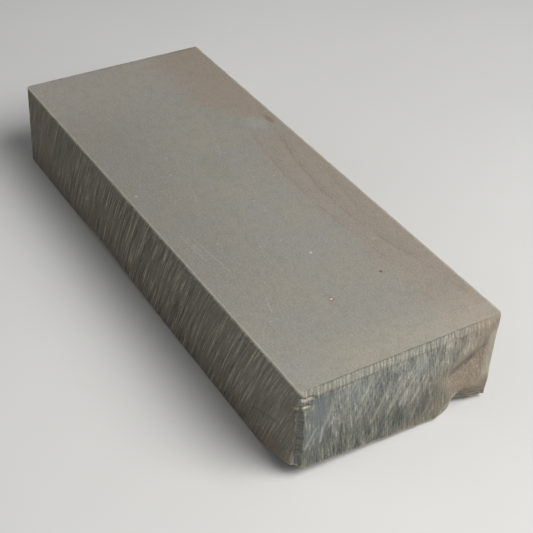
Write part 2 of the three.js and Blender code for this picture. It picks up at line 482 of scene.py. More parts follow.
def lid_faces(row_start, inner_start):
    """Faces of a lid, whose border cells take in every column of the ring."""
    def vertex(i, j):
        at = ring_column(i, j)
        if at is None:
            return inner_start + (i - 1) * (CELLS_ACROSS - 1) + j - 1
        return row_start + at % AROUND

    def side(corner, on_border):
        """A cell's corner, and the ring's vertices from it to the next corner."""
        points = [vertex(*corner)]
        if on_border:
            first = ring_column(*corner)
            points += [row_start + (first + k) % AROUND for k in range(1, LID_STEP)]
        return points

    return [side((i, j), j == 0) + side((i + 1, j), i + 1 == CELLS_LONG)
            + side((i + 1, j + 1), j + 1 == CELLS_ACROSS) + side((i, j + 1), i == 0)
            for i in range(CELLS_LONG) for j in range(CELLS_ACROSS)]


def to_rest(x, w, d):
    """Face frame in millimetres to the row frame in metres."""
    cos, sin = math.cos(TILT), math.sin(TILT)
    return np.stack([BOX_LOW.x / MM + x * cos + d * sin, w - WIDTH / 2,
                     REST_LIFT + x * sin - d * cos], axis=1) * MM


def top_points():
    """Nominal and shaped places of the lapped face's inner points."""
    _, _, x, w = lid_points(1)
    d = np.zeros_like(x)
    return (x, w, d), (*clip_plan(x, w, d), d)


def under_points():
    """Nominal and shaped places of the underside's inner points."""
    grid_x, grid_w, x, w = lid_points(LOWER_EDGE / LONG_INSET)
    d = bottom_depth(grid_x, grid_w)
    recess = end_recess(w, d) * recess_share(x)
    return (x, w, d), (*clip_plan(x - recess, w, d), d)


def wall_faces(rows):
    """Faces between the levels of the ring."""
    first = np.arange(AROUND)
    second = (first + 1) % AROUND
    wall = [np.stack([r * AROUND + first, r * AROUND + second,
                      (r + 1) * AROUND + second, (r + 1) * AROUND + first], axis=1)[:, ::-1]
            for r in range(rows - 1)]
    return np.concatenate(wall).tolist()


def stone_geometry():
    """Shaped points, nominal places, faces and the surface that each face belongs to."""
    col_x, col_w, col_zone = ring_columns()
    ring = ring_rows(col_x, col_w)
    rows = len(ring[0])
    top_place, top_shaped = top_points()
    under_place, under_shaped = under_points()
    shaped = shape_ring(*ring, col_zone)
    nominal = [np.concatenate([r.ravel(), t, u]) for r, t, u in zip(ring, top_place, under_place)]
    points = [np.concatenate([r.ravel(), t, u])
              for r, t, u in zip(shaped, top_shaped, under_shaped)]

    top = lid_faces(0, AROUND * rows)
    under_start = AROUND * rows + len(top_place[0])
    under = [f[::-1] for f in lid_faces(AROUND * (rows - 1), under_start)]
    zones = np.concatenate([np.tile(col_zone, rows - 1), np.full(len(top), TOP),
                            np.full(len(under), UNDER)])
    return points, nominal, wall_faces(rows) + top + under, zones


# ---- surface coordinates and marks

def streak_coordinates(x, w, d, zone):
    """Across and along the marks of the saw or the lapping plate, for each surface."""
    cos, sin = math.cos(LAPPING_ANGLE), math.sin(LAPPING_ANGLE)
    across = [front_streaks(x, d), APART + end_streaks(w, d), 2 * APART + back_streaks(x, d),
              3 * APART + plain_streaks(w, d), x * cos + w * sin, 4 * APART + x + UNDER_LEAN * w]
    along = [d, d, d, d, w * cos - x * sin, w]
    return by_surface(zone, across), by_surface(zone, along)


PALE_STROKES = (  # on the scarred end: start, end (across, depth), half width, share
    ((3.6, 23.5), (7.2, 16.5), 0.35, 0.4), ((5.4, 24.0), (8.0, 18.5), 0.3, 0.25),
    ((9.0, 22.8), (9.4, 17.0), 0.4, 0.6), ((10.2, 16.4), (12.6, 8.2), 0.35, 0.25),
    ((14.6, 23.0), (12.6, 16.5), 0.35, 0.3), ((27.4, 24.0), (32.6, 12.5), 0.45, 0.3),
    ((33.4, 22.5), (39.6, 8.5), 0.6, 0.3), ((38.2, 20.0), (43.0, 10.5), 0.45, 0.3),
    ((42.4, 22.5), (45.0, 17.0), 0.5, 0.4), ((39.6, 21.5), (40.4, 16.5), 0.45, 0.35),
    ((23.0, 12.5), (26.0, 4.5), 0.4, 0.3), ((35.0, 20.5), (40.5, 9.5), 0.35, 0.3),
)
DARK_STROKES_AND_CREASE_SHADE = (  # in the same order
    ((28.6, 17.5), (31.2, 6.5), 1.5, 0.35), ((36.2, 16.5), (40.8, 7.0), 0.7, 0.35),
    ((45.4, 17.5), (48.6, 8.5), 0.6, 0.35), ((24.0, 24.5), (28.5, 12.0), 0.5, 0.3),
    ((11.4, 23.5), (12.2, 19.5), 1.5, 0.6),
    ((16.4, 31.0), (16.8, 26.5), 0.6, 0.7), ((18.2, 31.0), (18.4, 26.8), 0.5, 0.7),
    ((31.0, 32.0), (31.8, 24.0), 0.8, 0.6), ((36.6, 29.0), (37.6, 23.0), 1.3, 0.7),
    ((33.8, 30.5), (34.4, 25.0), 0.5, 0.4), ((47.6, 29.0), (47.9, 22.5), 1.2, 0.7),
    # The two strokes on the next line are painted shade along the scar's crease.
    ((58.4, 18.2), (70.2, 11.2), 1.5, 0.4), ((59.4, 17.4), (65.6, 13.8), 2.0, 0.75),
    ((58.6, 3.4), (60.8, 3.3), 0.4, 0.6), ((58.4, 9.5), (61.0, 5.0), 0.5, 0.4),
)


def strokes(w, d, lines):
    """The strongest of the strokes at each place."""
    shares = []
    for start, end, half, share in lines:
        way_w, way_d = end[0] - start[0], end[1] - start[1]
        along = ((w - start[0]) * way_w + (d - start[1]) * way_d) / (way_w**2 + way_d**2)
        along = np.clip(along, 0, 1)
        away = np.hypot(w - start[0] - along * way_w, d - start[1] - along * way_d)
        shares.append(share * np.exp(-((away / half) ** 2)))
    return np.max(shares, axis=0)


def sliver_share(d):
    """1 over the depths where the scarred front corner has lost its sliver."""
    start, end = CORNER_SLIVER
    return smooth(d, start + 0.5, start + 3.5) * (1 - smooth(d, end - 1, end))


def end_brown(w, d):
    warm = 0.85 * smooth(w + 0.45 * (d - 15) + 3 * rough(w / 8, d / 8, 91), 42, 64)
    warm = warm * (1 - 0.5 * smooth(d, 19, 27) * (1 - smooth(w, 56, 62)))
    blotch = 0.5 * blob(w, d, (46, 33), (2.6, 1.8)) + 0.35 * blob(w, d, (38, 33.5), (4, 1.2))
    return np.clip(warm + blotch, 0, 1)


def end_dark(w, d):
    # Smudges, and painted shade along the scar's crease.
    smudge_and_crease_shade = strokes(w, d, DARK_STROKES_AND_CREASE_SHADE) * (1 + 0.3 * noise(end_streaks(w, d) / 0.6, d / 5, 92))
    # Painted shade in the notch's recess.
    notch = 0.12 * smooth(notch_recess(w, d), 0.1, 0.6) * smooth(w, 59.5, 62)
    sliver = 0.45 * (w < sliver_legs(d)[1] + 0.2) * sliver_share(d)
    # Painted shade along the chips' upper lines.
    lines = np.maximum(*(chip_shade_line(chip, w, d) for chip in CHIPS))
    return np.clip(smudge_and_crease_shade + notch + sliver + 0.9 * lines, 0, 1)


def chip_shade_line(chip, w, d):
    """1 along a chip's upper line, where shade is painted under its step."""
    band = np.exp(-((below_chip(chip, w, d) / 0.28) ** 2))
    return band * (1 - smooth(w, chip["line"] - 1, chip["line"]))


def chip_highlight(chip, w, d):
    """Share of the painted highlight on the facet below a chip's upper line."""
    band = np.exp(-(((below_chip(chip, w, d) - chip["middle"]) / chip["half"]) ** 2))
    ends = smooth(w, chip["from"] - 1, chip["from"]) * (1 - smooth(w, chip["to"] - 2, chip["to"]))
    return chip["pale"] * band * ends


def end_pale(w, d):
    recess = notch_recess(w, d)
    # Painted highlight along the lip of the notch.
    highlight_rim = np.exp(-(((recess - 0.25) / 0.4) ** 2)) * smooth(w, 53, 55) * (1 - smooth(w, 60.5, 62))
    highlight_rim = highlight_rim * (0.6 + 0.5 * noise(w / 0.9, d / 0.9, 93))
    # Painted highlight along the ridge by the back corner.
    ridge_highlight = smooth(w, 70, 72.5) * (1 - smooth(w, 74, 74.8))
    ridge_highlight = ridge_highlight * smooth(d, 3, 8) * (1 - smooth(d, 23, 26))
    # Painted highlights on the chips' facets.
    facets = np.maximum(*(chip_highlight(chip, w, d) for chip in CHIPS))
    return np.clip(0.6 * highlight_rim + 0.4 * ridge_highlight + strokes(w, d, PALE_STROKES) + facets, 0, 1)


def front_brown(x, d):
    """The reddish patch at the plain end, and the warm lower corner at the scarred end."""
    red = 0.75 * blob(x, d, (16, 17), (7, 12)) * (0.7 + 0.4 * noise(x / 2, d / 9, 95))
    return red + 0.55 * smooth(x, 150, 190) * smooth(d, 24, 33)


def chip_level(x, d):
    """Depth of the second chip's place on the front side, where it slants down from the corner."""
    return d - 0.55 * (LENGTH - x)


def front_dark(x, d):
    corner = 0.5 * (x > LENGTH - sliver_legs(d)[0] - 0.3) * sliver_share(d)
    # Painted shade under the second chip's step.
    shade_under_chip = 0.5 * blob(LENGTH - x, chip_level(x, d), (1.0, 7.0), (2.4, 0.6))
    return 0.6 * crack(x, d) + corner + shade_under_chip


def front_pale(x, d):
    # Painted highlight on the second chip's facet.
    chip = 0.7 * blob(LENGTH - x, chip_level(x, d), (0.8, 5.7), (1.8, 0.4))
    # Painted light on the lower corner bevel below the sliver.
    painted_light_below_sliver = 0.18 * smooth(d, 25, 27) * smooth(x, LENGTH - 4, LENGTH - 2)
    return chip + painted_light_below_sliver


def side_marks(x, w, d, zone):
    """Brown, dark and pale shares painted by place, each from 0 to 1: marks of the stone, with
    painted shade in the dark share and painted highlights in the pale share.
    """
    bottom = bottom_depth(x, w)
    # Painted rim highlight along the lower edges of the front and the scarred end.
    highlight_rim = 0.45 * smooth(d, bottom - 0.9, bottom - 0.1) * ((zone == FRONT) | (zone == SCARRED))
    brown = by_surface(zone, [front_brown(x, d), end_brown(w, d)])
    dark = by_surface(zone, [front_dark(x, d), end_dark(w, d)])
    pale = by_surface(zone, [front_pale(x, d), end_pale(w, d)]) + highlight_rim
    return [np.clip(m, 0, 1) for m in (brown, dark, pale)]


def break_share(x, w, d, zone):
    """1 on broken surfaces, 0 on sawn and lapped ones."""
    sliver = sliver_share(d) * (w < sliver_legs(d)[1] + 0.2)
    scar = np.where(zone == SCARRED, np.maximum(smooth(end_recess(w, d), 0.05, 1.2), sliver), 0)
    under = np.where(zone == UNDER, smooth(underside_lift(LENGTH - x, w), 0.02, 0.5), 0)
    return np.maximum(scar, under)


def lapped_share(d, zone):
    """1 on the lapped face, and less on the wear-smoothed upper part of the three bevels not filed.
    """
    bevel = 0.75 * (1 - smooth(d, 0.1, 0.35)) * (zone != SCARRED) * (zone != UNDER)
    return np.where(zone == TOP, 1, bevel)


def set_attribute(mesh, name, values):
    """Stores three numbers for every face corner."""
    attribute = mesh.attributes.new(name, "FLOAT_VECTOR", "CORNER")
    data = np.stack([np.broadcast_to(v, values[0].shape) for v in values], axis=1)
    attribute.data.foreach_set("vector", data.astype(np.float32).ravel())


TEXELS_PER_MM = 4.3
ATLAS = 1024
ATLAS_GAP = 8


def atlas_places():
    """Where each surface lies in the flat layout that a baked texture uses, in texels."""
    tall, deep = WIDTH * TEXELS_PER_MM, THICKNESS_SCARRED * TEXELS_PER_MM
    rows = np.cumsum([ATLAS_GAP, tall + ATLAS_GAP, tall + ATLAS_GAP, deep + ATLAS_GAP])
    right = 2 * ATLAS_GAP + LENGTH * TEXELS_PER_MM
    return {TOP: (ATLAS_GAP, rows[0]), UNDER: (ATLAS_GAP, rows[1]), FRONT: (ATLAS_GAP, rows[2]),
            BACK: (ATLAS_GAP, rows[3]), SCARRED: (right, ATLAS_GAP),
            PLAIN: (right, 2 * ATLAS_GAP + tall)}


def add_layout(mesh, x, w, d, zone):
    """Six flat rectangles, so that a bake keeps the same sharpness on every surface."""
    places = atlas_places()
    u = by_surface(zone, [x, d, x, d, x, x]) * TEXELS_PER_MM
    v = by_surface(zone, [d, w, d, w, w, w]) * TEXELS_PER_MM
    u = u + by_surface(zone, [places[k][0] for k in range(6)])
    v = v + by_surface(zone, [places[k][1] for k in range(6)])
    layer = mesh.uv_layers.new(name="OFBake")
    layer.data.foreach_set("uv", (np.stack([u, v], axis=1) / ATLAS).astype(np.float32).ravel())


def add_object(name, data):
    made = bpy.data.objects.new(name, data)
    bpy.context.scene.collection.objects.link(made)
    return made


def build_stone():
    points, nominal, faces, zones = stone_geometry()
    mesh = bpy.data.meshes.new("whetstone")
    mesh.from_pydata(to_rest(*points).tolist(), [], faces)
    mesh.polygons.foreach_set("use_smooth", np.ones(len(faces), bool))

    corner_vertex = np.concatenate([np.array(f) for f in faces])
    corner_zone = np.repeat(zones, [len(f) for f in faces])
    x, w, d = (n[corner_vertex] for n in nominal)
    set_attribute(mesh, "place", (x, w, d))
    across, along = streak_coordinates(x, w, d, corner_zone)
    set_attribute(mesh, "streak", (across, along, np.zeros_like(x)))
    set_attribute(mesh, "marks", side_marks(x, w, d, corner_zone))
    lapped, end = lapped_share(d, corner_zone), (corner_zone == SCARRED) * 1.0
    set_attribute(mesh, "surface", (lapped, end, break_share(x, w, d, corner_zone)))
    add_layout(mesh, x, w, d, corner_zone)

    mesh.update()
    mesh.set_sharp_from_angle(angle=SHARP_ANGLE)
    return add_object("whetstone", mesh)


# ---- materials

STONE_DIM = 0.82  # the stone's colours are written as they look in the studio's light


def srgb(r, g, b, dim=1.0):
    """A colour as eyes read it, 0 to 255, turned into the shader's linear values."""
    def linear(v):
        v = v / 255
        return v / 12.92 if v <= 0.04045 else ((v + 0.055) / 1.055) ** 2.4
    return (linear(r) * dim, linear(g) * dim, linear(b) * dim, 1.0)


def stone(r, g, b):
    return srgb(r, g, b, STONE_DIM)


# Colours of the lapped face.
LAPPED_CLOUDS = ((0.32, stone(142, 141, 135)), (0.5, stone(145, 141, 131)),
                 (0.68, stone(149, 143, 130)))
IRON_BROWN = stone(148, 134, 121)
VEIN_BROWN = stone(118, 108, 96)
NEAR_END_SHEEN = stone(171, 162, 145)
FAR_END = stone(164, 154, 142)
EDGE_HIGHLIGHT = stone(198, 188, 168)
SCRATCH = stone(182, 178, 165)
FRONT_SHADE = srgb(238, 237, 238)
MOTTLE = stone(116, 112, 100)
DARK_GRAIN = stone(104, 101, 92)
PALE_GRAIN = stone(184, 180, 169)

# Colours of the sawn sides and of the scarred end.
SAWN_STREAKS = ((0.39, stone(69, 69, 60)), (0.465, stone(108, 106, 93)),
                (0.535, stone(132, 126, 111)), (0.62, stone(192, 181, 158)))
SAWN_FAR = stone(121, 116, 102)
SAWN_CLOUD = stone(128, 117, 100)
SAWN_NEAR = stone(186, 186, 176)
END_STREAKS = ((0.40, stone(70, 74, 71)), (0.47, stone(114, 117, 111)),
               (0.535, stone(139, 138, 127)), (0.61, stone(190, 184, 166)))
END_LOW = srgb(200, 202, 198)
END_SCRATCH = stone(200, 194, 177)
FILED = stone(146, 144, 131)
FILED_DARK = stone(92, 92, 82)
FILED_PALE = stone(200, 193, 173)
FILED_LINE = stone(84, 82, 72)

# Colours of broken rock, and of the marks, painted shade and painted highlights laid on by place.
BROKEN = ((0.34, stone(126, 113, 97)), (0.5, stone(140, 126, 109)), (0.66, stone(156, 141, 123)))
BROKEN_DARK = stone(88, 78, 66)
BROKEN_PALE = stone(198, 182, 160)
WARM_LAYERS = ((0.38, stone(84, 78, 68)), (0.5, stone(124, 115, 100)), (0.62, stone(170, 156, 136)))
COLD_LAYERS = ((0.38, stone(74, 76, 70)), (0.5, stone(98, 98, 89)), (0.62, stone(130, 127, 113)))
SIDE_RED = stone(146, 124, 104)
END_TAN = stone(165, 146, 122)
DARK_MARK_AND_SHADE = stone(66, 65, 60)
PALE_MARK_AND_HIGHLIGHT = stone(212, 206, 188)
GOLDEN_HIGHLIGHT = stone(236, 212, 170)
SPECK = stone(200, 192, 174)


class Shader:
    """Short names for building a material's node tree."""

    def __init__(self, name):
        self.material = bpy.data.materials.new(name)
        self.material.use_nodes = True
        self.tree = self.material.node_tree
        self.surface = self.tree.nodes["Principled BSDF"]

    def set(self, socket, value):
        if isinstance(value, bpy.types.NodeSocket):
            self.tree.links.new(value, socket)
        else:
            socket.default_value = value

    def node(self, kind, inputs=(), **settings):
        made = self.tree.nodes.new(kind)
        for key, value in settings.items():
            setattr(made, key, value)
        for key, value in dict(inputs).items():
            self.set(made.inputs[key], value)
        return made

    def math(self, operation, *values):
        made = self.node("ShaderNodeMath", enumerate(values), operation=operation)
        return made.outputs[0]

    def add(self, *values):
        total = values[0]
        for value in values[1:]:
            total = self.math("ADD", total, value)
        return total

    def times(self, *values):
        total = values[0]
        for value in values[1:]:
            total = self.math("MULTIPLY", total, value)
        return total

    def fade(self, value, start, end):
        """0 at start, 1 at end, whichever is larger."""
        made = self.node("ShaderNodeMapRange", {"Value": value, "From Min": start, "From Max": end},
                         interpolation_type="SMOOTHSTEP")
        return made.outputs[0]

    def triple(self, name):
        found = self.node("ShaderNodeAttribute", attribute_name=name, attribute_type="GEOMETRY")
        parts = self.node("ShaderNodeSeparateXYZ", {0: found.outputs["Vector"]})
        return found.outputs["Vector"], parts.outputs[0], parts.outputs[1], parts.outputs[2]

    def vector(self, x, y, z):
        return self.node("ShaderNodeCombineXYZ", {0: x, 1: y, 2: z}).outputs[0]

    def noise(self, vector, scale, detail, roughness):
        """Noise from 0 to 1 whose main features are 1 / scale across."""
        made = self.node("ShaderNodeTexNoise", {
            "Vector": vector, "Scale": scale, "Detail": detail, "Roughness": roughness})
        return made.outputs["Fac"]

    def streaks(self, across, along, size, detail, roughness):
        """Noise over a plane. Size is its scale across and along, then its own layer."""
        place = self.vector(self.times(across, size[0]), self.times(along, size[1]), size[2])
        return self.noise(place, 1.0, detail, roughness)

    def mix(self, share, a, b, blend="MIX"):
        made = self.node("ShaderNodeMix", {0: share, 6: a, 7: b}, data_type="RGBA",
                         blend_type=blend)
        return made.outputs[2]

    def ramp(self, value, stops):
        made = self.node("ShaderNodeValToRGB", {"Fac": value})
        elements = made.color_ramp.elements
        while len(elements) < len(stops):
            elements.new(0.5)
        for element, (at, colour) in zip(elements, stops):
            element.position = at
            element.color = colour
        return made.outputs["Color"]


TOP_OVALS = (  # middle (x, distance from the back edge), half size, colour, share
    ((63.5, 9.5), (6.5, 5.0), (154, 153, 146), 0.6),
    ((63.0, 4.0), (5.0, 1.5), (120, 98, 84), 0.65),
    ((82.0, 38.0), (13.0, 7.0), (136, 132, 112), 0.35),
    ((158.8, 21.5), (0.8, 0.7), (112, 44, 38), 0.9),
    ((162.9, 43.3), (1.5, 1.1), (132, 84, 66), 0.7),
    ((162.9, 43.3), (0.6, 0.6), (226, 220, 204), 1.0),
    ((140.0, 35.8), (0.8, 0.7), (208, 200, 184), 0.8),
    ((83.0, 46.0), (1.0, 0.9), (176, 142, 104), 0.7),
    ((122.0, 60.0), (0.9, 0.8), (172, 162, 124), 0.7),
    ((86.0, 71.0), (0.8, 0.7), (196, 190, 176), 0.7),
)


def oval_share(s, x, v, centre, half):
    """1 in the middle of a soft oval and 0 outside it."""
    across = s.math("DIVIDE", s.math("SUBTRACT", x, centre[0]), half[0])
    up = s.math("DIVIDE", s.math("SUBTRACT", v, centre[1]), half[1])
    far = s.math("SQRT", s.add(s.times(across, across), s.times(up, up)))
    return s.fade(far, 1.0, 0.35)


def paint_ovals(s, ovals, x, v, colour):
    for centre, half, tint, share in ovals:
        inside = oval_share(s, x, v, centre, half)
        colour = s.mix(s.times(inside, share), colour, stone(*tint))
    return colour


def vein_share(s, x, from_back, wander, middle, spread, height):
    """A thin vein that bows away from the back edge around its middle."""
    off = s.math("SUBTRACT", x, middle)
    bow = s.math("DIVIDE", s.math("MULTIPLY", off, off), spread)
    line = s.add(from_back, bow, s.times(wander, 0.22), -height)
    thin = s.fade(s.math("ABSOLUTE", line), 0.9, 0.1)
    soft = s.times(s.fade(s.math("ABSOLUTE", s.add(line, 1.0)), 2.6, 0.2), 0.35)
    return s.times(s.math("MAXIMUM", thin, soft), s.fade(s.math("ABSOLUTE", off), 54.0, 34.0))


def segment_share(s, x, y, start, end, half):
    """1 along a straight scratch, 0 past its half width and beyond its ends."""
    long = math.hypot(end[0] - start[0], end[1] - start[1])
    way = ((end[0] - start[0]) / long, (end[1] - start[1]) / long)
    off_x, off_y = s.math("SUBTRACT", x, start[0]), s.math("SUBTRACT", y, start[1])
    along = s.add(s.times(off_x, way[0]), s.times(off_y, way[1]))
    away = s.math("ABSOLUTE", s.math("SUBTRACT", s.times(off_y, way[0]), s.times(off_x, way[1])))
    return s.times(s.fade(away, half, half * 0.3), s.fade(along, 0.0, 2.0),
                   s.fade(along, long, long - 2.0))


TOP_SCRATCHES = (  # start, end, half width, by place along the stone and from the back edge
    ((111.8, 68.9), (129.4, 67.7), 0.35), ((115.6, 65.8), (137.6, 63.7), 0.3),
    ((113.5, 67.5), (124.0, 66.9), 0.25), ((152.0, 60.5), (160.5, 63.0), 0.25),
    ((69.0, 30.5), (76.0, 32.0), 0.25), ((93.0, 53.0), (99.5, 54.6), 0.25),
)
TOP_VEINS = (  # middle along the stone, spread of the bow, distance from the back edge, share
    (118.0, 300.0, 12.6, 1.0), (112.0, 420.0, 19.0, 0.8), (140.0, 380.0, 7.5, 0.6),
)


def lapped_bands(s, place, x, from_back, wander):
    """Grey-green clouds, the iron-brown band and patch along the back edge, and their veins."""
    base = s.ramp(s.noise(place, 0.035, 5, 0.6), LAPPED_CLOUDS)
    band = s.times(s.fade(s.add(from_back, wander), 26.0, 8.0), s.fade(x, 58.0, 84.0))
    right = s.fade(s.add(x, s.times(from_back, 1.05), s.times(wander, 0.3)), 72.0, 66.0)
    patch = s.times(s.fade(s.add(from_back, wander), 32.0, 12.0), right)
    brown = s.math("MAXIMUM", s.times(band, 0.72), s.times(patch, 0.85))
    colour = s.mix(brown, base, IRON_BROWN)

    faint = s.fade(s.noise(place, 0.09, 3, 0.6), 0.25, 0.55)
    vein = 0.0
    for middle, spread, height, share in TOP_VEINS:
        line = vein_share(s, x, from_back, wander, middle, spread, height)
        vein = s.math("MAXIMUM", vein, s.times(line, share))
    return s.mix(s.times(vein, faint, 0.42), colour, VEIN_BROWN)


def lapped_places(s, x, w, from_back, colour):
    """Spots, a paler far end, painted sheen at the near end, painted highlights along the front and
    back edges, scratches, and painted shade along the front side.
    """
    colour = paint_ovals(s, TOP_OVALS, x, from_back, colour)
    # Painted sheen: paler towards the near end and the back edge.
    near = s.times(s.fade(x, 172.0, 193.0), s.fade(w, -40.0, 70.0), 0.55)
    colour = s.mix(near, colour, NEAR_END_SHEEN)
    far = s.times(s.fade(x, 55.0, 5.0), s.fade(from_back, 14.0, 30.0), 0.35)
    colour = s.mix(far, colour, FAR_END)
    # Painted highlights along the front and back edges of the lapped face.
    edge_highlight = s.add(s.times(s.fade(w, 1.3, 0.5), 0.4), s.times(s.fade(from_back, 1.4, 0.6), 0.5))
    colour = s.mix(edge_highlight, colour, EDGE_HIGHLIGHT)
    for line in TOP_SCRATCHES:
        scratch = segment_share(s, x, from_back, *line)
        colour = s.mix(s.times(scratch, 0.35), colour, SCRATCH)
    # Painted shade along the front side of the lapped face.
    front_shade = s.times(s.fade(w, 40.0, 6.0), s.fade(x, 15.0, 50.0), s.fade(x, 185.0, 120.0), 0.8)
    return s.mix(front_shade, colour, FRONT_SHADE, "MULTIPLY")


def lapped_colour(s, place, x, w, grain):
    """The sharpening face."""
    wander = s.math("MULTIPLY_ADD", s.noise(place, 0.07, 5, 0.6), 16.0, -8.0)
    from_back = s.math("SUBTRACT", WIDTH, w)
    colour = lapped_bands(s, place, x, from_back, wander)
    colour = lapped_places(s, x, w, from_back, colour)
    mottle = s.noise(place, 0.3, 3, 0.6)
    colour = s.mix(s.times(s.fade(mottle, 0.46, 0.62), 0.16), colour, MOTTLE)
    colour = s.mix(s.times(s.fade(grain, 0.47, 0.36), 0.25), colour, DARK_GRAIN)
    return s.mix(s.times(s.fade(grain, 0.5, 0.66), 0.31), colour, PALE_GRAIN)


def sawn_colour(s, across, along, place, x, d):
    """Sawn sides: light and dark streaks that follow the saw marks."""
    coarse = s.streaks(across, along, (0.6, 0.03, 0.0), 2, 0.5)
    fine = s.streaks(across, along, (1.6, 0.07, 7.0), 3, 0.65)
    grit = s.noise(s.vector(across, s.times(along, 0.8), 19.0), 1.2, 3, 0.7)
    streak = s.add(s.times(coarse, 0.24), s.times(fine, 0.58), s.times(grit, 0.18))
    tone = s.ramp(streak, SAWN_STREAKS)
    tone = s.mix(s.fade(x, 95.0, 10.0), tone, s.mix(0.25, tone, SAWN_FAR))
    cloud = s.noise(place, 0.06, 3, 0.5)
    tone = s.mix(s.times(s.fade(cloud, 0.42, 0.62), 0.35), tone, SAWN_CLOUD)
    near = s.times(s.fade(x, 120.0, 182.0), s.fade(d, 32.0, 18.0), 0.4)
    return s.mix(near, tone, s.mix(0.3, tone, SAWN_NEAR))


END_OVALS = (  # middle (from the front side, depth), half size, colour, share
    ((8.0, 9.8), (5.8, 6.6), (106, 112, 111), 0.8),
    ((9.5, 5.2), (6.0, 1.8), (106, 110, 107), 0.7),
    ((21.0, 8.0), (9.0, 7.0), (134, 140, 137), 0.4),
    ((7.0, 20.0), (9.0, 11.0), (104, 110, 108), 0.55),
    ((44.0, 7.0), (4.0, 5.0), (156, 160, 154), 0.45),
    ((41.5, 18.5), (5.5, 5.0), (166, 161, 150), 0.3),
    ((28.0, 22.0), (12.0, 8.0), (118, 118, 110), 0.35),
)


def end_colour(s, across, along, place, w, d):
    """The scarred end: blue-grey with fine upright streaks and broader leaning strokes."""
    wide = s.streaks(across, along, (0.4, 0.06, 0.0), 3, 0.6)
    fine = s.streaks(across, along, (1.8, 0.16, 3.0), 3, 0.65)
    lean = s.add(w, s.times(d, 0.48))
    stroke = s.streaks(lean, along, (0.8, 0.045, 13.0), 4, 0.6)
    leaning = s.times(oval_share(s, w, d, (35.0, 15.0), (24.0, 16.0)), 0.75)
    broad = s.add(wide, s.times(leaning, s.math("SUBTRACT", stroke, wide)))
    grit = s.noise(s.vector(across, s.times(along, 0.8), 19.0), 1.3, 3, 0.7)
    streak = s.add(s.times(broad, 0.31), s.times(fine, 0.48), s.times(grit, 0.21))
    tone = paint_ovals(s, END_OVALS, w, d, s.ramp(streak, END_STREAKS))
    low = s.fade(s.add(d, s.times(w, 0.08)), 14.0, 30.0)
    tone = s.mix(s.times(low, 0.9), tone, END_LOW, "MULTIPLY")
    scratch = s.streaks(lean, along, (1.3, 0.09, 23.0), 3, 0.6)
    sparse = s.fade(s.noise(place, 0.13, 2, 0.5), 0.45, 0.6)
    return s.mix(s.times(s.fade(scratch, 0.57, 0.67), sparse, 0.4), tone, END_SCRATCH)


def file_marks(s, w, d, tone):
    """The pale strip filed along the upper edge of the scarred end, and its regular strokes."""
    turns = s.add(s.times(w, FILE_BEAT), s.times(d, FILE_LEAN))
    for wave in FILE_WANDER:
        swing = s.math("SINE", s.add(s.times(w, wave["beat"]), wave["start"]))
        turns = s.add(turns, s.times(swing, wave["size"]))
    beat = s.math("SINE", turns)
    patchy = s.noise(s.vector(s.times(w, 0.45), d, 31.0), 1.0, 2, 0.6)
    lower = s.add(d, s.times(patchy, 0.8), -3.6)
    strip = s.times(s.fade(d, 0.0, 0.4), s.fade(lower, 0.35, -0.2), s.fade(w, -0.5, 2.5))
    inner = s.times(strip, s.fade(w, 75.0, 58.0))
    tone = s.mix(s.times(strip, s.fade(w, 90.0, 20.0), 0.65), tone, FILED)
    tone = s.mix(s.times(inner, s.fade(beat, -0.2, -0.95), 0.28), tone, FILED_DARK)
    pale = s.times(inner, s.fade(beat, 0.2, 0.9), s.fade(patchy, 0.42, 0.62))
    tone = s.mix(s.times(pale, 0.5), tone, FILED_PALE)
    above = s.math("ABSOLUTE", s.add(d, s.times(beat, 0.12), -0.22))
    above = s.times(s.fade(above, 0.42, 0.1), s.fade(w, 4.0, 8.0), s.fade(w, 74.0, 66.0))
    below = s.times(s.fade(s.math("ABSOLUTE", lower), 0.42, 0.1), s.fade(w, 6.0, 8.0),
                    s.fade(w, 62.0, 20.0))
    return s.mix(s.times(s.math("MAXIMUM", above, below), 0.45), tone, FILED_LINE)


def broken_colour(s, place, w, d, grain):
    """Broken rock: mottled and warm, and layered at the corner sliver and below the scar."""
    mottled = s.ramp(s.noise(place, 0.45, 5, 0.65), BROKEN)
    mottled = s.mix(s.times(s.fade(grain, 0.48, 0.34), 0.5), mottled, BROKEN_DARK)
    mottled = s.mix(s.times(s.fade(grain, 0.51, 0.66), 0.55), mottled, BROKEN_PALE)
    level = s.add(d, s.times(w, -0.1))
    layers = s.streaks(w, level, (0.2, 1.1, 17.0), 3, 0.6)
    below = s.fade(s.add(d, s.times(w, -0.05)), 22.0, 24.5)
    by_scar = s.mix(below, mottled, s.ramp(layers, WARM_LAYERS))
    return s.mix(s.fade(w, 6.0, 4.0), by_scar, s.ramp(layers, COLD_LAYERS))


def speck_share(s, place):
    """Sparse pale mineral specks, in about one cell of seven."""
    cells = s.node("ShaderNodeTexVoronoi", {"Vector": place, "Scale": 0.3})
    pick = s.node("ShaderNodeSeparateColor", {0: cells.outputs["Color"]}).outputs[0]
    return s.times(s.fade(cells.outputs["Distance"], 0.14, 0.05), s.fade(pick, 0.82, 0.9))


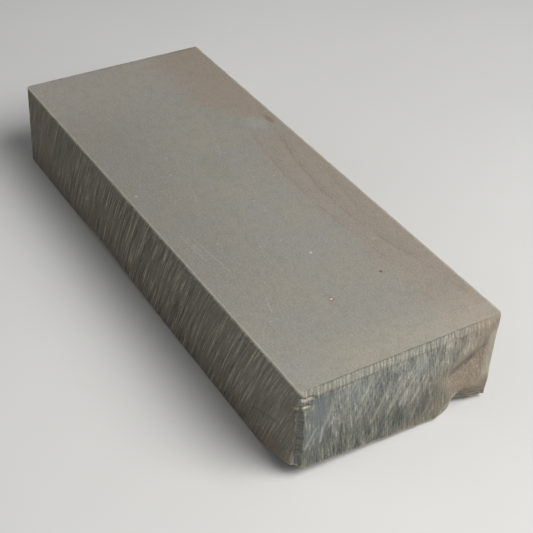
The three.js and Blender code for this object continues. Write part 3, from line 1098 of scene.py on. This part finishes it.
def side_colour(s, place, x, w, d, grain):
    """The four sides and the underside: sawn, filed or broken, with the marks, painted shade and
    painted highlights laid on by place.
    """
    _, across, along, _ = s.triple("streak")
    _, brown, dark, pale = s.triple("marks")
    _, _, end, broken = s.triple("surface")
    sawn_end = file_marks(s, w, d, end_colour(s, across, along, place, w, d))
    sides = s.mix(end, sawn_colour(s, across, along, place, x, d), sawn_end)
    warm = s.mix(s.times(end, 0.6), SIDE_RED, END_TAN)
    sides = s.mix(s.times(brown, s.math("MULTIPLY_ADD", end, -0.15, 0.75)), sides, warm)
    sides = s.mix(s.times(broken, 0.75), sides, broken_colour(s, place, w, d, grain))
    # Dark marks and painted shade.
    sides = s.mix(s.times(dark, 0.75), sides, DARK_MARK_AND_SHADE)
    # Golden tint of the painted highlights on the chips by the scarred end's front corner.
    golden_highlight = s.times(s.fade(w, 7.0, 4.5), s.fade(d, 0.5, 5.2), s.fade(d, 7.6, 7.0))
    return s.mix(s.times(pale, 0.8), sides, s.mix(golden_highlight, PALE_MARK_AND_HIGHLIGHT, GOLDEN_HIGHLIGHT))


def stone_height(s, place, grain):
    """Fine relief in millimetres: saw marks, lapping marks, grain and broken rock."""
    _, across, along, _ = s.triple("streak")
    _, lapped, _, broken = s.triple("surface")
    rest = s.math("SUBTRACT", 1.0, lapped)
    saw = s.streaks(across, along, (1.8, 0.12, 5.0), 3, 0.6)
    lap = s.streaks(across, along, (1.6, 0.08, 9.0), 2, 0.5)
    rock = s.noise(place, 1.1, 4, 0.6)
    return s.add(s.times(saw, rest, 0.16), s.times(lap, lapped, 0.02), s.times(grain, rest, 0.12),
                 s.times(grain, lapped, 0.05), s.times(broken, rock, 0.2))


def stone_material():
    s = Shader("whetstone_stone")
    place, x, w, d = s.triple("place")
    lapped = s.triple("surface")[1]
    grain = s.noise(place, 1.5, 3, 0.7)

    sides = side_colour(s, place, x, w, d, grain)
    colour = s.mix(lapped, sides, lapped_colour(s, place, x, w, grain))
    colour = s.mix(s.times(speck_share(s, place), 0.5), colour, SPECK)
    s.set(s.surface.inputs["Base Color"], colour)

    rest = s.math("SUBTRACT", 1.0, lapped)
    wear = s.math("MULTIPLY_ADD", grain, 0.16, 0.60)
    s.set(s.surface.inputs["Roughness"], s.add(wear, s.times(rest, 0.1)))

    height = stone_height(s, place, grain)
    bump = s.node("ShaderNodeBump", {"Height": height, "Strength": 1.0, "Distance": MM})
    s.set(s.surface.inputs["Normal"], bump.outputs["Normal"])
    return s.material


FLOOR_CLOUDS = ((0.3, srgb(196, 195, 192)), (0.7, srgb(202, 201, 198)))
FLOOR_ROUGHNESS = 0.6


def floor_material():
    s = Shader("pale_floor")
    coordinates = s.node("ShaderNodeTexCoord").outputs["Object"]
    tone = s.ramp(s.noise(coordinates, 6.0, 3, 0.5), FLOOR_CLOUDS)
    s.set(s.surface.inputs["Base Color"], tone)
    s.surface.inputs["Roughness"].default_value = FLOOR_ROUGHNESS
    return s.material


# ---- stage

CAMERA_AZIMUTH = 55.561
CAMERA_ELEVATION = 38.606
CAMERA_ROLL = 4.429
CAMERA_DISTANCE = 432.47
CAMERA_LENS = 82.79
CAMERA_AIM = (13.71, 4.75, 7.11)  # millimetres from the origin, under the middle of the stone
CAMERA_SENSOR = 36.0
CAMERA_CLIP = (0.01, 20.0)

# Square lights aimed at the origin. Distances and sides are in metres, and power is in watts.
LIGHTS = {
    "key": {"azimuth": 118.0, "elevation": 50.0, "distance": 0.9, "side": 0.6, "power": 11.0},
    "fill": {"azimuth": -20.0, "elevation": 40.0, "distance": 1.2, "side": 0.8, "power": 1.5},
}
SKY_COLOUR = (0.93, 0.96, 1.0, 1.0)
SKY_STRENGTH = 0.17
FLOOR_SIDE = 4.0


def direction(azimuth, elevation):
    """From the stone towards a place, where azimuth 0 is in front of the front side."""
    a, e = math.radians(azimuth), math.radians(elevation)
    return Vector((math.sin(a) * math.cos(e), -math.cos(a) * math.cos(e), math.sin(e)))


def add_camera():
    data = bpy.data.cameras.new("camera")
    data.lens = CAMERA_LENS
    data.sensor_width = CAMERA_SENSOR
    data.clip_start, data.clip_end = CAMERA_CLIP
    camera = add_object("camera", data)
    back = direction(CAMERA_AZIMUTH, CAMERA_ELEVATION)
    camera.location = Vector(CAMERA_AIM) * MM + back * (CAMERA_DISTANCE * MM)
    camera.rotation_mode = "QUATERNION"
    roll = Quaternion((0, 0, 1), math.radians(CAMERA_ROLL))
    camera.rotation_quaternion = back.to_track_quat("Z", "Y") @ roll
    bpy.context.scene.camera = camera


def add_light(name, azimuth, elevation, distance, side, power):
    data = bpy.data.lights.new(name, "AREA")
    data.shape = "SQUARE"
    data.size = side
    data.energy = power
    light = add_object(name, data)
    way = direction(azimuth, elevation)
    light.location = way * distance
    light.rotation_mode = "QUATERNION"
    light.rotation_quaternion = way.to_track_quat("Z", "Y")


def add_floor():
    half = FLOOR_SIDE / 2
    mesh = bpy.data.meshes.new("floor")
    corners = [(-half, -half, 0), (half, -half, 0), (half, half, 0), (-half, half, 0)]
    mesh.from_pydata(corners, [], [(0, 1, 2, 3)])
    mesh.materials.append(floor_material())
    floor = add_object("floor", mesh)


def add_world():
    world = bpy.data.worlds.new("studio")
    world.use_nodes = True
    background = world.node_tree.nodes["Background"]
    background.inputs["Color"].default_value = SKY_COLOUR
    background.inputs["Strength"].default_value = SKY_STRENGTH
    bpy.context.scene.world = world


def main():
    block = build_stone()
    block.data.materials.append(stone_material())
    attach(block, BODY)
    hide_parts(NODE)
    add_floor()
    add_world()
    for name, light in LIGHTS.items():
        add_light(name, **light)
    add_camera()
    bpy.context.scene.view_settings.view_transform = "Standard"


main()
